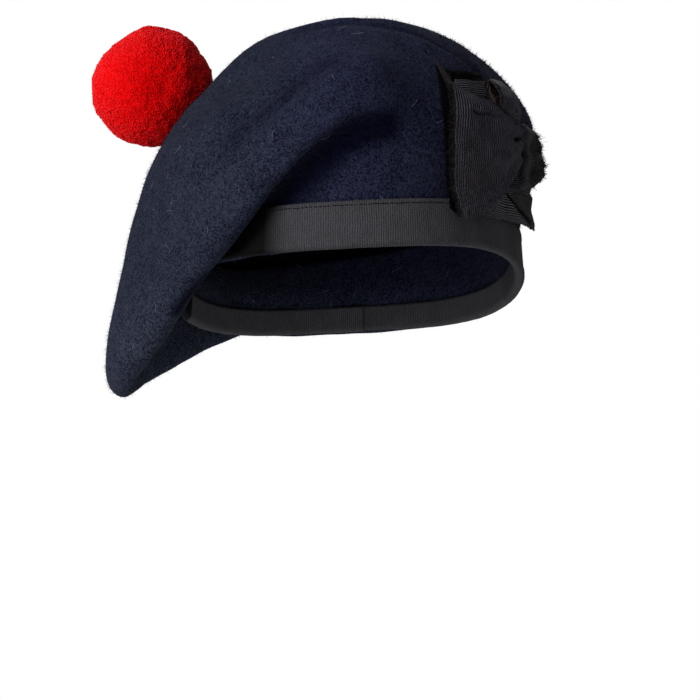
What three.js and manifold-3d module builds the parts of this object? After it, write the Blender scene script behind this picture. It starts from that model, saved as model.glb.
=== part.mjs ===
// A balmoral bonnet in its worn shape. A fulled wool crown is drawn down over the wearer's right side, a
// grosgrain ribbon is folded over the edge of the head opening, a cockade of two gathered ribbons is sewn
// to the wearer's left, and a wool pompom sits on the middle of the crown. Millimetres and degrees. +Z is
// up, the front is at -Y and the wearer's left at +X. The origin is the middle of the head opening. A turn
// is counted round the bonnet from the front, by way of the wearer's right.
import * as THREE from "three";
import { mergeVertices } from "three/addons/utils/BufferGeometryUtils.js";
import Module from "manifold-3d";

const wasm = await Module();
wasm.setup();

// Head opening: an oval whose edge falls from the front to the back and dips on the wearer's right.
const openingHalfWidth = 85;
const openingHalfLength = 102;
const edgeHeightAtSides = 2.5;
const edgeFallToBack = 18;
const edgeSideSlope = 0.052;

// Ribbon folded over the edge of the felt.
const ribbonHeight = 21;
const ribbonInsideHeight = 15;
const ribbonThickness = 0.9;
const ribbonLean = 0.08;
const clothGap = 0.3;

// Felt crown.
const feltThickness = 2.2;
const valleyShare = 0.45;
const turnSteps = 64;
const seat = new THREE.Vector3(-75, 9, 87);
const domeSquareness = 3.6;
const domeStations = [0.16, 0.38, 0.64, 0.86];

// One row for each upright section through the crown, 30 degrees apart. aim is the way the overhanging fold
// points, with 0 outwards and -90 down, tuck is how far it is turned under, from 0 for a smooth wall to 1
// for a full fold, and roll is half the thickness of the fold. rise is the height of the dome over a
// straight line from the rim to the seat of the pompom. A reach is measured from the upright axis, and a
// height from the origin.
const sectionColumns = [
  "turn", "aim", "tuck", "roll", "valleyReach", "valleyHeight", "foldReach", "foldHeight",
  "bellyReach", "bellyHeight", "rimReach", "rimHeight", "rise",
];
const sectionRows = [
  [0, -35, 0.7, 3.6, 99.3, 71, 107.5, 77.5, 104.5, 94, 66, 123, 14.5],
  [30, -72, 1, 6, 97.5, 48, 105.5, 23, 110, 50, 98, 82, 12.5],
  [60, -85, 1, 6.5, 91, 38, 98, -17, 105, 14, 97, 60, 11],
  [90, -90, 1, 6.5, 89, 27, 109, -47, 113, -8, 99.5, 43, 10.5],
  [120, -88, 1, 6.5, 92, 18, 108, -36, 113, -2, 102, 46, 10],
  [150, -80, 1, 6, 100, 15, 112, -18, 118, 17, 107, 62, 13],
  [180, -60, 0.9, 5.5, 104, 21, 115, 6, 119, 36, 103, 80, 18.6],
  [210, -30, 0.6, 4, 98.5, 29, 107, 34, 108, 56, 91, 90, 24.8],
  [240, -10, 0.25, 3, 89, 36, 94, 50, 95, 68, 83, 92, 29],
  [270, 0, 0.1, 3, 85, 42, 88.5, 54, 90.5, 72, 84.5, 91.5, 32],
  [300, 0, 0.1, 3, 88, 52, 90, 66, 88.5, 85, 78.5, 104.5, 29],
  [330, -10, 0.3, 3, 95, 58, 97.5, 74, 94, 92, 74, 117, 21.5],
];
const sectionStep = 30;

// How many mesh steps each stretch of a section takes, from the collar of the ribbon up to the seat of the
// pompom.
const stretchSteps = [1, 1, 1, 2, 1, 1, 2, 2, 1, 1, 1, 1, 1];
const rimPlace = 8;
const halvings = 24;

// Soft ridges and dents pressed into the crown: a line between two places on it, how far it stands out and
// its width. A place is a turn and a count of stretches along the section there.
const reliefRows = [
  { name: "front ridge", from: [58, 8.2], to: [8, 8.6], rise: 1.6, width: 9 },
  { name: "dent above the front ridge", from: [62, 9.4], to: [22, 9.3], rise: -2.2, width: 13 },
  { name: "blocked rim, front", from: [18, 9.1], to: [-28, 8.9], rise: 1.1, width: 6 },
  { name: "blocked rim, left", from: [-28, 8.9], to: [-75, 8.7], rise: 1.1, width: 6 },
  { name: "hollow beside the cockade", from: [-12, 7.9], to: [-20, 7], rise: -2, width: 16 },
  { name: "crease in the flap", from: [76, 7.2], to: [88, 8.6], rise: 1.2, width: 8 },
  { name: "dip in the top over the front", from: [22, 9.5], to: [-8, 9.3], rise: -4.8, width: 12 },
  { name: "swell beside the seat", from: [-8, 11], to: [10, 10.9], rise: 3.6, width: 15 },
  { name: "dent behind the seat", from: [150, 9.4], to: [195, 9.6], rise: -3, width: 18 },
  { name: "sag at the back", from: [165, 7.4], to: [205, 8], rise: 2, width: 14 },
];

// Pompom: a core with locks of wool. Its middle stands off the seat by the sewn depth, along the lean.
const pompomRadius = 29;
const pompomSewnDepth = 24.5;
const pompomLean = new THREE.Vector3(-0.78, 0.03, 0.62).normalize();
const pompomCoreShare = 0.87;
const lockCount = 70;
const lockTipRadius = 3.3;
const lockRootRadius = 7.6;
const lockLength = 9;
const lockSides = 6;

// Cockade: two wide ribbons gathered to a pinch, one lying across the other. A row is a station along the
// ribbon: the turn and height of its middle, half its width, how far it stands off the bonnet, how deep its
// pleats are and how far its middle bows out.
const cockadeThickness = 1;
const cockadeColumns = ["turn", "height", "half", "lift", "pleat", "bow"];
const crossRibbonRows = [
  [-25.7, 67, 32, 6.5, 0.2, 0],
  [-33, 65.2, 30.6, 7, 0.6, 0],
  [-41, 63.8, 25.8, 7, 1.2, 0],
  [-49, 65.2, 18.4, 6.4, 1.5, 0],
  [-57.5, 69.5, 8, 4, 0.6, 0],
  [-67, 69, 11.5, 5.2, 1, 0],
  [-76, 66, 13.5, 5, 0.9, 0],
  [-85, 63.5, 13.5, 4.6, 0.4, 0],
];
const uprightRibbonRows = [
  [-56, 34.5, 26, 1.9, 0.3, 0],
  [-57, 46, 22, 2.2, 0.7, 0],
  [-58, 58, 15.5, 1.9, 0.8, 0],
  [-57, 70, 9, 1.3, 0.4, 0],
  [-52.5, 81, 12, 1.8, 0.7, 0],
  [-45.5, 91.5, 14, 2, 0.8, 0],
  [-40, 101, 13, 2.3, 0.8, 0],
];
const loopRows = [
  [-56, 80.5, 3.6, 4.6, 0, 1.5],
  [-53, 85, 5.6, 4.6, 0, 3],
  [-49.5, 89.5, 6.8, 4.6, 0, 4.2],
  [-46.5, 94.5, 6.6, 4.6, 0, 4.2],
];
const cockadeAcross = 12;
const cockadeStepsPerStation = 2;
const crossCornersTurn = 4.5;
const uprightEndSlant = 0.1;
const pleatCount = 2.5;

const radians = THREE.MathUtils.degToRad;
const colours = { felt: 0x141828, ribbon: 0x1c1b1f, cockade: 0x151418, wool: 0xc40a10 };

// A smooth value through a list at an even spacing, at a place counted in spacings.
function smooth(values, place, closed) {
  const last = values.length - 1;
  const base = Math.floor(place);
  const wrap = (k) => THREE.MathUtils.euclideanModulo(k, values.length);
  const pick = (k) => values[closed ? wrap(k) : THREE.MathUtils.clamp(k, 0, last)];
  const [a, b, c, d] = [-1, 0, 1, 2].map((k) => pick(base + k));
  const t = place - base;
  return b + 0.5 * t * (c - a + t * (2 * a - 5 * b + 4 * c - d + t * (3 * (b - c) + d - a)));
}

function rowAt(columns, rows, place, closed) {
  const value = (k) => smooth(rows.map((row) => row[k]), place, closed);
  return Object.fromEntries(columns.map((name, k) => [name, value(k)]));
}

function onTurn(turn, reach, height) {
  return new THREE.Vector3(-Math.sin(radians(turn)) * reach, -Math.cos(radians(turn)) * reach, height);
}

// A place on the ribbon's outer face, moved in by inset and up by up.
function openingPoint(turn, inset, up) {
  const side = Math.sin(radians(turn)) / openingHalfWidth;
  const front = Math.cos(radians(turn)) / openingHalfLength;
  const reach = 1 / Math.hypot(side, front);
  const edge = onTurn(turn, reach, 0);
  const fall = Math.sin((Math.PI / 2) * (edge.y / openingHalfLength));
  const edgeHeight = edgeHeightAtSides - edgeFallToBack * fall + edgeSideSlope * edge.x;
  return onTurn(turn, reach - inset - ribbonLean * up, edgeHeight + up);
}

// The control points of a section, from the ribbon's top edge to the pompom's seat.
function sectionCurve(turn) {
  const row = rowAt(sectionColumns, sectionRows, turn / sectionStep, true);
  const aim = radians(row.aim);
  const bent = (reach, height, halfWidth) =>
    [-1, 0, 1].map((side) => {
      const back = side === 0 ? 0 : row.tuck * halfWidth;
      return onTurn(
        turn,
        reach - back * Math.cos(aim) - side * halfWidth * Math.sin(aim),
        height - back * Math.sin(aim) + side * halfWidth * Math.cos(aim),
      );
    });
  const valley = bent(row.valleyReach, row.valleyHeight, -row.roll * valleyShare).reverse();
  const rim = onTurn(turn, row.rimReach, row.rimHeight);
  const dome = domeStations.map((share) => {
    const point = rim.clone().lerp(seat, share);
    point.z += row.rise * (1 - Math.abs(2 * share - 1) ** domeSquareness);
    return point;
  });
  return new THREE.CatmullRomCurve3([
    openingPoint(turn, ribbonThickness + clothGap, ribbonHeight),
    ...valley,
    ...bent(row.foldReach, row.foldHeight, row.roll),
    onTurn(turn, row.bellyReach, row.bellyHeight),
    rim,
    ...dome,
    seat,
  ]);
}

function alongSection(curve, place) {
  return curve.getPoint(place / (curve.points.length - 1));
}

function closedGeometry(points, triangles) {
  const geometry = new THREE.BufferGeometry();
  const positions = points.flatMap((p) => [p.x, p.y, p.z]);
  geometry.setAttribute("position", new THREE.Float32BufferAttribute(positions, 3));
  geometry.setIndex(triangles);
  return geometry;
}

function quad(a, b, c, d) {
  return [a, b, c, a, c, d];
}

// The crown's outer face as rows of points, one row for each turn, which all end at the seat.
function crownFace() {
  const relief = reliefRows.map((row) => {
    const [start, end] = [row.from, row.to].map(([turn, place]) => alongSection(sectionCurve(turn), place));
    return { ...row, line: new THREE.Line3(start, end) };
  });
  const rows = [];
  for (let i = 0; i < turnSteps; i++) {
    const turn = (360 / turnSteps) * i;
    const curve = sectionCurve(turn);
    const inset = ribbonThickness + clothGap;
    const heights = [ribbonThickness + clothGap, ribbonInsideHeight];
    const row = heights.map((up) => openingPoint(turn, inset, up));
    stretchSteps.forEach((steps, stretch) => {
      for (let k = 0; k < steps; k++) row.push(alongSection(curve, stretch + k / steps));
    });
    rows.push(row);
  }
  const perRow = rows[0].length;
  const points = [...rows.flat(), seat.clone()];
  const triangles = faceTriangles(turnSteps, perRow, points.length - 1);
  const normals = normalsOf(points, triangles);
  const nearest = new THREE.Vector3();
  points.forEach((point, k) => {
    const start = point.clone();
    for (const row of relief) {
      row.line.closestPointToPoint(start, true, nearest);
      const away = nearest.distanceTo(start) / row.width;
      point.addScaledVector(normals[k], row.rise * Math.exp(-away * away));
    }
  });
  return { points, triangles, perRow };
}

function faceTriangles(count, perRow, pole) {
  const triangles = [];
  for (let i = 0; i < count; i++) {
    const here = i * perRow;
    const next = ((i + 1) % count) * perRow;
    for (let k = 0; k < perRow - 1; k++) {
      triangles.push(...quad(here + k, here + k + 1, next + k + 1, next + k));
    }
    triangles.push(here + perRow - 1, pole, next + perRow - 1);
  }
  return triangles;
}

function normalsOf(points, triangles) {
  const geometry = closedGeometry(points, triangles);
  geometry.computeVertexNormals();
  const normal = geometry.getAttribute("normal");
  return points.map((_, k) => new THREE.Vector3().fromBufferAttribute(normal, k));
}

// The felt is the outer face, the same face moved in by the thickness of the cloth, and a strip that joins
// the two inside the ribbon.
function crownGeometry(face) {
  const normals = normalsOf(face.points, face.triangles);
  const inner = face.points.map((p, k) => p.clone().addScaledVector(normals[k], -feltThickness));
  const offset = face.points.length;
  const triangles = [...face.triangles];
  for (let k = 0; k < face.triangles.length; k += 3) {
    const [a, b, c] = face.triangles.slice(k, k + 3).map((v) => v + offset);
    triangles.push(a, c, b);
  }
  for (let i = 0; i < turnSteps; i++) {
    const here = i * face.perRow;
    const next = ((i + 1) % turnSteps) * face.perRow;
    triangles.push(...quad(here, next, next + offset, here + offset));
  }
  return closedGeometry([...face.points, ...inner], triangles);
}

// The ribbon is one closed outline, a U that holds the edge of the felt, carried round the opening.
function ribbonGeometry() {
  const t = ribbonThickness;
  const inside = 2 * t + 2 * clothGap + feltThickness;
  const outline = [
    [0, ribbonHeight], [0, t / 2], [t / 2, 0],
    [inside - t / 2, 0], [inside, t / 2], [inside, ribbonInsideHeight - 2],
    [inside - t, ribbonInsideHeight - 2], [inside - t, t], [t, t], [t, ribbonHeight],
  ];
  const points = [];
  const triangles = [];
  for (let i = 0; i < turnSteps; i++) {
    const turn = (360 / turnSteps) * i;
    outline.forEach(([inset, up]) => points.push(openingPoint(turn, inset, up)));
    const here = i * outline.length;
    const next = ((i + 1) % turnSteps) * outline.length;
    outline.forEach((_, k) => {
      const after = (k + 1) % outline.length;
      triangles.push(...quad(here + k, next + k, next + after, here + after));
    });
  }
  return closedGeometry(points, triangles);
}

function asSolid(geometry) {
  const bare = new THREE.BufferGeometry().setAttribute("position", geometry.getAttribute("position"));
  bare.setIndex(geometry.index);
  const merged = mergeVertices(bare, 1e-4);
  return new wasm.Manifold(
    new wasm.Mesh({
      numProp: 3,
      vertProperties: merged.attributes.position.array,
      triVerts: new Uint32Array(merged.index.array),
    }),
  );
}

function asGeometry(solid) {
  const mesh = solid.getMesh();
  const geometry = new THREE.BufferGeometry();
  geometry.setAttribute("position", new THREE.BufferAttribute(new Float32Array(mesh.vertProperties), 3));
  geometry.setIndex(new THREE.BufferAttribute(new Uint32Array(mesh.triVerts), 1));
  return geometry;
}

// The space under the crown and a little more, closed across the head opening.
function crownFilled(face) {
  const normals = normalsOf(face.points, face.triangles);
  const points = face.points.map((p, k) => p.clone().addScaledVector(normals[k], clothGap));
  const triangles = [...face.triangles];
  points.push(new THREE.Vector3(0, 0, 0));
  for (let i = 0; i < turnSteps; i++) {
    triangles.push(points.length - 1, i * face.perRow, ((i + 1) % turnSteps) * face.perRow);
  }
  return asSolid(closedGeometry(points, triangles));
}

// Locks of wool stand on the core in a spiral of even spacing, and the felt presses its shape into them.
function pompomGeometry(face) {
  const centre = face.points.at(-1).clone().addScaledVector(pompomLean, pompomSewnDepth);
  const coreRadius = pompomRadius * pompomCoreShare;
  const goldenAngle = Math.PI * (3 - Math.sqrt(5));
  const solids = [asSolid(new THREE.IcosahedronGeometry(coreRadius, 2).translate(...centre))];
  for (let i = 0; i < lockCount; i++) {
    const up = 1 - (2 * i + 1) / lockCount;
    const round = Math.sqrt(1 - up * up);
    const way = new THREE.Vector3(Math.cos(goldenAngle * i) * round, Math.sin(goldenAngle * i) * round, up);
    const lock = new THREE.CylinderGeometry(lockTipRadius, lockRootRadius, lockLength, lockSides);
    lock.applyQuaternion(new THREE.Quaternion().setFromUnitVectors(new THREE.Vector3(0, 1, 0), way));
    lock.translate(...centre.clone().addScaledVector(way, pompomRadius - lockLength / 2));
    solids.push(asSolid(lock));
  }
  const ball = wasm.Manifold.union(solids).subtract(crownFilled(face));
  const parts = ball.decompose().sort((a, b) => b.volume() - a.volume());
  return asGeometry(parts[0]);
}

function reachOf(point) {
  return Math.hypot(point.x, point.y);
}

// How far the bonnet's outer face reaches at a height. On the wearer's left the wall only climbs, as this
// needs.
function wallReach(turn, height) {
  const ribbonTop = openingPoint(turn, 0, ribbonHeight);
  if (height < ribbonTop.z) return reachOf(openingPoint(turn, 0, height - ribbonTop.z + ribbonHeight));
  const curve = sectionCurve(turn);
  let [low, high] = [0, rimPlace];
  for (let k = 0; k < halvings; k++) {
    const middle = (low + high) / 2;
    if (alongSection(curve, middle).z < height) low = middle;
    else high = middle;
  }
  return reachOf(alongSection(curve, low));
}

// A ribbon of the cockade: its middle face follows the stations, and half the thickness goes to each side
// of it. place(row, across) gives the turn and height of a place across the ribbon, with across from -1 to
// 1.
function cockadeGeometry(rows, place) {
  const along = (rows.length - 1) * cockadeStepsPerStation;
  const middle = [];
  for (let i = 0; i <= along; i++) {
    const row = rowAt(cockadeColumns, rows, i / cockadeStepsPerStation, false);
    for (let k = 0; k <= cockadeAcross; k++) {
      const across = (2 * k) / cockadeAcross - 1;
      const { turn, height } = place(row, across, i / along);
      const pleats = row.pleat * Math.cos(across * Math.PI * pleatCount);
      const lift = row.lift + pleats + row.bow * (1 - across * across);
      middle.push(onTurn(turn, wallReach(turn, height) + lift, height));
    }
  }
  const width = cockadeAcross + 1;
  const triangles = [];
  for (let i = 0; i < along; i++)
    for (let k = 0; k < cockadeAcross; k++) {
      const corner = i * width + k;
      triangles.push(...quad(corner, corner + 1, corner + width + 1, corner + width));
    }
  const normals = normalsOf(middle, triangles);
  const outward = normals[0].dot(middle[0]) > 0 ? 1 : -1;
  const halfThickness = cockadeThickness / 2;
  const side = (sign) => middle.map((p, k) => p.clone().addScaledVector(normals[k], sign * halfThickness));
  const offset = middle.length;
  const all = [...triangles];
  for (let k = 0; k < triangles.length; k += 3) {
    const [a, b, c] = triangles.slice(k, k + 3).map((v) => v + offset);
    all.push(a, c, b);
  }
  const border = [];
  for (let k = 0; k < cockadeAcross; k++) border.push(k);
  for (let i = 0; i < along; i++) border.push(i * width + cockadeAcross);
  for (let k = cockadeAcross; k > 0; k--) border.push(along * width + k);
  for (let i = along; i > 0; i--) border.push(i * width);
  border.forEach((here, k) => {
    const next = border[(k + 1) % border.length];
    all.push(...quad(here, here + offset, next + offset, next));
  });
  return closedGeometry([...side(outward), ...side(-outward)], outward > 0 ? all : all.reverse());
}

const degreesPerMillimetre = 180 / (Math.PI * 90);

function crossRibbonGeometry() {
  return cockadeGeometry(crossRibbonRows, (row, across, share) => ({
    turn: row.turn - crossCornersTurn * across * across * (1 - share) ** 3,
    height: row.height + across * row.half,
  }));
}

function uprightRibbonGeometry(rows) {
  return cockadeGeometry(rows, (row, across, share) => ({
    turn: row.turn - across * row.half * degreesPerMillimetre,
    height: row.height - across * row.half * uprightEndSlant * (1 - share),
  }));
}

function piece(name, geometry, colour, roughness) {
  const material = new THREE.MeshStandardMaterial({ color: colour, roughness, metalness: 0 });
  const mesh = new THREE.Mesh(geometry, material);
  mesh.name = name;
  return mesh;
}

const bonnet = new THREE.Group();
const face = crownFace();
bonnet.add(piece("crown", crownGeometry(face), colours.felt, 0.95));
bonnet.add(piece("headband_ribbon", ribbonGeometry(), colours.ribbon, 0.75));
bonnet.add(piece("cockade_upright_ribbon", uprightRibbonGeometry(uprightRibbonRows), colours.cockade, 0.75));
bonnet.add(piece("cockade_cross_ribbon", crossRibbonGeometry(), colours.cockade, 0.75));
bonnet.add(piece("cockade_loop", uprightRibbonGeometry(loopRows), colours.cockade, 0.75));
bonnet.add(piece("pompom", pompomGeometry(face), colours.wool, 1));

export default bonnet;
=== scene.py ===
import math

import bmesh
import bpy
import numpy as np
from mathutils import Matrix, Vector, noise
from mathutils.bvhtree import BVHTree


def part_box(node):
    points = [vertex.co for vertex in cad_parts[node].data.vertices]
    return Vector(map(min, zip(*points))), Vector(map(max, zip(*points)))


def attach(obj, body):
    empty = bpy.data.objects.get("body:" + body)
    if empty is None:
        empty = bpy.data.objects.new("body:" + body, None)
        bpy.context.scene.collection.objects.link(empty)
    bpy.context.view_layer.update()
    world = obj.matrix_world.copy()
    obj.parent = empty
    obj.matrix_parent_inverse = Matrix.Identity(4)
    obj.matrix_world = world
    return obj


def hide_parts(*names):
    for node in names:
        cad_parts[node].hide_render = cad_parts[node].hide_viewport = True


# Balmoral bonnet: dark blue fulled wool, black grosgrain ribbon and cockade, red wool pompom.
# The file works in metres. Sizes in the dictionaries are millimetres unless a note says otherwise.
# A turn is in degrees round the bonnet from the front: 90 is its right side as worn, -90 its left.

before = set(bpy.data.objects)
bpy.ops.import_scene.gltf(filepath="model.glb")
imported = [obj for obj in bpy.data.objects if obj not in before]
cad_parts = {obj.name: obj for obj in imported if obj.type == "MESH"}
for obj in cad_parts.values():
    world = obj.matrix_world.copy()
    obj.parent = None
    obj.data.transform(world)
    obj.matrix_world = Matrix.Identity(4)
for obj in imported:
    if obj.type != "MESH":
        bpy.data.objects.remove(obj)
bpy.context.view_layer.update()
mm = 0.001
scene = bpy.context.scene


def show(stage):
    print("bonnet:", stage)


# Camera and studio

view = {
    "side": 1.4,
    "distance": 1300,
    "height": -24.7,
    "level": 90,  # degrees up from straight down
    "focalPixels": 2704,
    "framePixels": 700,
    "sensorWidth": 36,
    "farthest": 50,  # metres
}

camera = bpy.data.objects.new("camera", bpy.data.cameras.new("camera"))
camera.data.sensor_width = view["sensorWidth"]
camera.data.lens = view["focalPixels"] / view["framePixels"] * view["sensorWidth"]
camera.data.clip_end = view["farthest"]
camera.location = Vector((view["side"], -view["distance"], view["height"])) * mm
camera.rotation_euler = (math.radians(view["level"]), 0, 0)
scene.collection.objects.link(camera)
scene.camera = camera

studio = {
    "floorHeight": -350,
    "floorRadius": 1150,
    "floorSides": 128,
    "floorTone": 0.9,
    "sky": 0.215,  # strength of the soft light from all round
    "backdrop": 1.0,  # strength of the white that shows behind
    "aim": (0, 0, 40),
    # place, size of the soft panel, power in watts
    "lights": {
        "keyLight": ((-1020, -1030, 500), 850, 31),
        "rimLight": ((500, 900, 900), 600, 5),
    },
}


def meshOf(name, bm):
    mesh = bpy.data.meshes.new(name)
    bm.to_mesh(mesh)
    bm.free()
    return mesh


def makeFloor():
    bm = bmesh.new()
    radius = studio["floorRadius"] * mm
    bmesh.ops.create_circle(bm, cap_ends=True, segments=studio["floorSides"], radius=radius)
    bmesh.ops.translate(bm, verts=bm.verts, vec=(0, 0, studio["floorHeight"] * mm))
    mesh = meshOf("floor", bm)
    material = bpy.data.materials.new("paleFloor")
    material.use_nodes = True
    shader = material.node_tree.nodes["Principled BSDF"]
    shader.inputs["Base Color"].default_value = (studio["floorTone"],) * 3 + (1,)
    shader.inputs["Roughness"].default_value = 1.0
    mesh.materials.append(material)
    floor = bpy.data.objects.new("floor", mesh)
    scene.collection.objects.link(floor)


def makeLights():
    aim = Vector(studio["aim"]) * mm
    for name, (place, size, power) in studio["lights"].items():
        lamp = bpy.data.lights.new(name, "AREA")
        lamp.size = size * mm
        lamp.energy = power
        light = bpy.data.objects.new(name, lamp)
        light.location = Vector(place) * mm
        light.visible_camera = False
        light.rotation_euler = (aim - light.location).to_track_quat("-Z", "Y").to_euler()
        scene.collection.objects.link(light)


def makeSky():
    # the light from all round, and a white ground that only the camera sees
    world = bpy.data.worlds.new("whiteStudio")
    world.use_nodes = True
    tree = world.node_tree
    background = tree.nodes["Background"]
    background.inputs["Color"].default_value = (1, 1, 1, 1)
    background.inputs["Strength"].default_value = studio["sky"]
    backdrop = tree.nodes.new("ShaderNodeBackground")
    backdrop.inputs["Color"].default_value = (1, 1, 1, 1)
    backdrop.inputs["Strength"].default_value = studio["backdrop"]
    seen = tree.nodes.new("ShaderNodeLightPath")
    both = tree.nodes.new("ShaderNodeMixShader")
    tree.links.new(seen.outputs["Is Camera Ray"], both.inputs[0])
    tree.links.new(background.outputs[0], both.inputs[1])
    tree.links.new(backdrop.outputs[0], both.inputs[2])
    tree.links.new(both.outputs[0], tree.nodes["World Output"].inputs["Surface"])
    scene.world = world
    scene.view_settings.view_transform = "Standard"


makeFloor()
makeLights()
makeSky()
show("camera, floor and lights")


# Shader maths

class Wire:
    def __init__(self, tree, socket=None):
        self.tree = tree
        self.socket = socket

    def make(self, kind, settings=None, inputs=None, output=0):
        node = self.tree.nodes.new(kind)
        for name, value in (settings or {}).items():
            setattr(node, name, value)
        for name, value in (inputs or {}).items():
            if isinstance(value, Wire):
                self.tree.links.new(value.socket, node.inputs[name])
            else:
                node.inputs[name].default_value = value
        return Wire(self.tree, node.outputs[output])

    def maths(self, operation, *values):
        return self.make("ShaderNodeMath", {"operation": operation}, dict(enumerate(values)))

    def __add__(self, other):
        return self.maths("ADD", self, other)

    def __radd__(self, other):
        return self.maths("ADD", other, self)

    def __sub__(self, other):
        return self.maths("SUBTRACT", self, other)

    def __rsub__(self, other):
        return self.maths("SUBTRACT", other, self)

    def __mul__(self, other):
        return self.maths("MULTIPLY", self, other)

    def __rmul__(self, other):
        return self.maths("MULTIPLY", other, self)

    def __pow__(self, other):
        return self.maths("POWER", self, other)

    def noise(self, place, scale, detail=2.0, roughness=0.5, distortion=0.0):
        inputs = {"Vector": place, "Scale": scale, "Detail": detail}
        inputs.update({"Roughness": roughness, "Distortion": distortion})
        return self.make("ShaderNodeTexNoise", {}, inputs)

    def every(self, place, size, detail=2.0, roughness=0.5, distortion=0.0):
        # noise whose patches are about so many millimetres wide
        return self.noise(place, 1 / (size * mm), detail, roughness, distortion)

    def ramp(self, value, low, high):
        inputs = {"Value": value, "From Min": low, "From Max": high}
        return self.make("ShaderNodeMapRange", {"interpolation_type": "SMOOTHSTEP"}, inputs)

    def mix(self, share, first, second):
        inputs = {0: share, 6: first, 7: second}
        return self.make("ShaderNodeMix", {"data_type": "RGBA", "clamp_factor": True}, inputs, output=2)

    def stretched(self, place, scale):
        return self.make("ShaderNodeMapping", {}, {"Vector": place, "Scale": scale})

    def place(self):
        return self.make("ShaderNodeTexCoord", output=3)

    def along(self, place, axis):
        return self.make("ShaderNodeSeparateXYZ", {}, {"Vector": place}, output=axis)

    def kept(self, name):
        # a number that the mesh keeps
        return self.make("ShaderNodeAttribute", {"attribute_name": name}, output=2)


def newMaterial(name, fixed):
    material = bpy.data.materials.new(name)
    material.use_nodes = True
    tree = material.node_tree
    shader = tree.nodes["Principled BSDF"]
    for socket, value in fixed.items():
        shader.inputs[socket].default_value = value
    return material, Wire(tree), shader


def feed(wire, shader, **links):
    names = {"colour": "Base Color", "roughness": "Roughness"}
    for key, value in links.items():
        if key == "height":
            distance, height = value
            bump = wire.make("ShaderNodeBump", {}, {"Height": height, "Distance": distance, "Strength": 1.0})
            wire.tree.links.new(bump.socket, shader.inputs["Normal"])
        else:
            wire.tree.links.new(value.socket, shader.inputs[names[key]])


def colour(red, green, blue):
    return (red, green, blue, 1)


# Small meshes joined from many straight or bent threads

def meshFrom(name, points, faces, shade=None, flank=None):
    mesh = bpy.data.meshes.new(name)
    count = len(faces)
    mesh.vertices.add(len(points))
    mesh.vertices.foreach_set("co", np.asarray(points, dtype=np.float32).ravel())
    mesh.loops.add(faces.size)
    mesh.loops.foreach_set("vertex_index", faces.astype(np.int32).ravel())
    mesh.polygons.add(count)
    mesh.polygons.foreach_set("loop_start", np.arange(0, faces.size, faces.shape[1], dtype=np.int32))
    if shade is not None:
        layer = mesh.attributes.new("shade", "FLOAT", "POINT")
        layer.data.foreach_set("value", np.asarray(shade, dtype=np.float32))
    if flank is not None:
        layer = mesh.attributes.new("flank", "FLOAT", "FACE")
        layer.data.foreach_set("value", np.asarray(flank, dtype=np.float32))
    mesh.update(calc_edges=True)
    return mesh


def unit(vectors):
    return vectors / np.maximum(np.linalg.norm(vectors, axis=-1, keepdims=True), 1e-12)


def sideways(axis, rng):
    across = unit(np.cross(axis, rng.normal(size=axis.shape)))
    return across, np.cross(axis, across)


def ring(middles, half, across, up, sides):
    # the corners round each fibre
    angles = [2 * math.pi * k / sides for k in range(sides)]
    return [middles + half * (across * math.cos(angle) + up * math.sin(angle)) for angle in angles]


def forEach(faces, count, corners):
    # the same few faces for every fibre
    first = (np.arange(count) * corners)[:, None, None]
    return (first + np.array(faces)[None]).reshape(-1, 3)


def spikes(name, roots, tips, half, rng, rootShade, tipShade):
    # each fibre is a long three-sided spike with a closed foot
    across, up = sideways(unit(tips - roots), rng)
    corners = ring(roots, half[:, None], across, up, 3)
    points = np.stack(corners + [tips], axis=1).reshape(-1, 3)
    faces = forEach([[0, 1, 3], [1, 2, 3], [2, 0, 3], [0, 2, 1]], len(roots), 4)
    shade = np.stack([rootShade] * 3 + [tipShade], axis=1)
    return meshFrom(name, points, faces, shade.ravel())


def tufts(name, roots, tips, half, rng, shade):
    # each tuft is a short blunt three-sided peg, closed all round, with painted shade at its foot
    narrowing, footShade = 0.8, 0.1
    across, up = sideways(unit(tips - roots), rng)
    feet = ring(roots, half[:, None], across, up, 3)
    heads = ring(tips, (half * narrowing)[:, None], across, up, 3)
    points = np.stack(feet + heads, axis=1).reshape(-1, 3)
    walls = [[k, (k + 1) % 3, (k + 1) % 3 + 3] for k in range(3)]
    walls += [[k, (k + 1) % 3 + 3, k + 3] for k in range(3)]
    faces = forEach(walls + [[0, 2, 1], [3, 4, 5]], len(roots), 6)
    shades = np.stack([shade * footShade] * 3 + [shade] * 3, axis=1)
    flank = np.tile([1] * 6 + [0, 0], len(roots))
    return meshFrom(name, points, faces, shades.ravel(), flank)


def threads(name, paths, half, rng, sides=3, shade=0.5):
    # paths is an array of threads, places along each, and x, y, z
    count, steps, _ = paths.shape
    axis = unit(np.gradient(paths, axis=1))
    across = unit(np.cross(axis, rng.normal(size=(count, 1, 3)) + np.zeros_like(axis)))
    up = np.cross(axis, across)
    points = np.stack(ring(paths, half, across, up, sides), axis=2).reshape(-1, 3)
    faces = []
    for step in range(steps - 1):
        for k in range(sides):
            here = step * sides + k
            there = step * sides + (k + 1) % sides
            faces.append([here, there, there + sides])
            faces.append([here, there + sides, here + sides])
    for k in range(1, sides - 1):
        faces.append([0, k + 1, k])
        last = (steps - 1) * sides
        faces.append([last, last + k, last + k + 1])
    return meshFrom(name, points, forEach(faces, count, steps * sides), np.full(len(points), shade))


def piece(name, mesh, materials, nodes=()):
    for material in materials:
        if material.name not in [m.name for m in mesh.materials if m]:
            mesh.materials.append(material)
    made = bpy.data.objects.new(name, mesh)
    scene.collection.objects.link(made)
    mesh.polygons.foreach_set("use_smooth", [True] * len(mesh.polygons))
    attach(made, "root")
    if nodes:
        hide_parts(*nodes)
    return made


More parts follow.
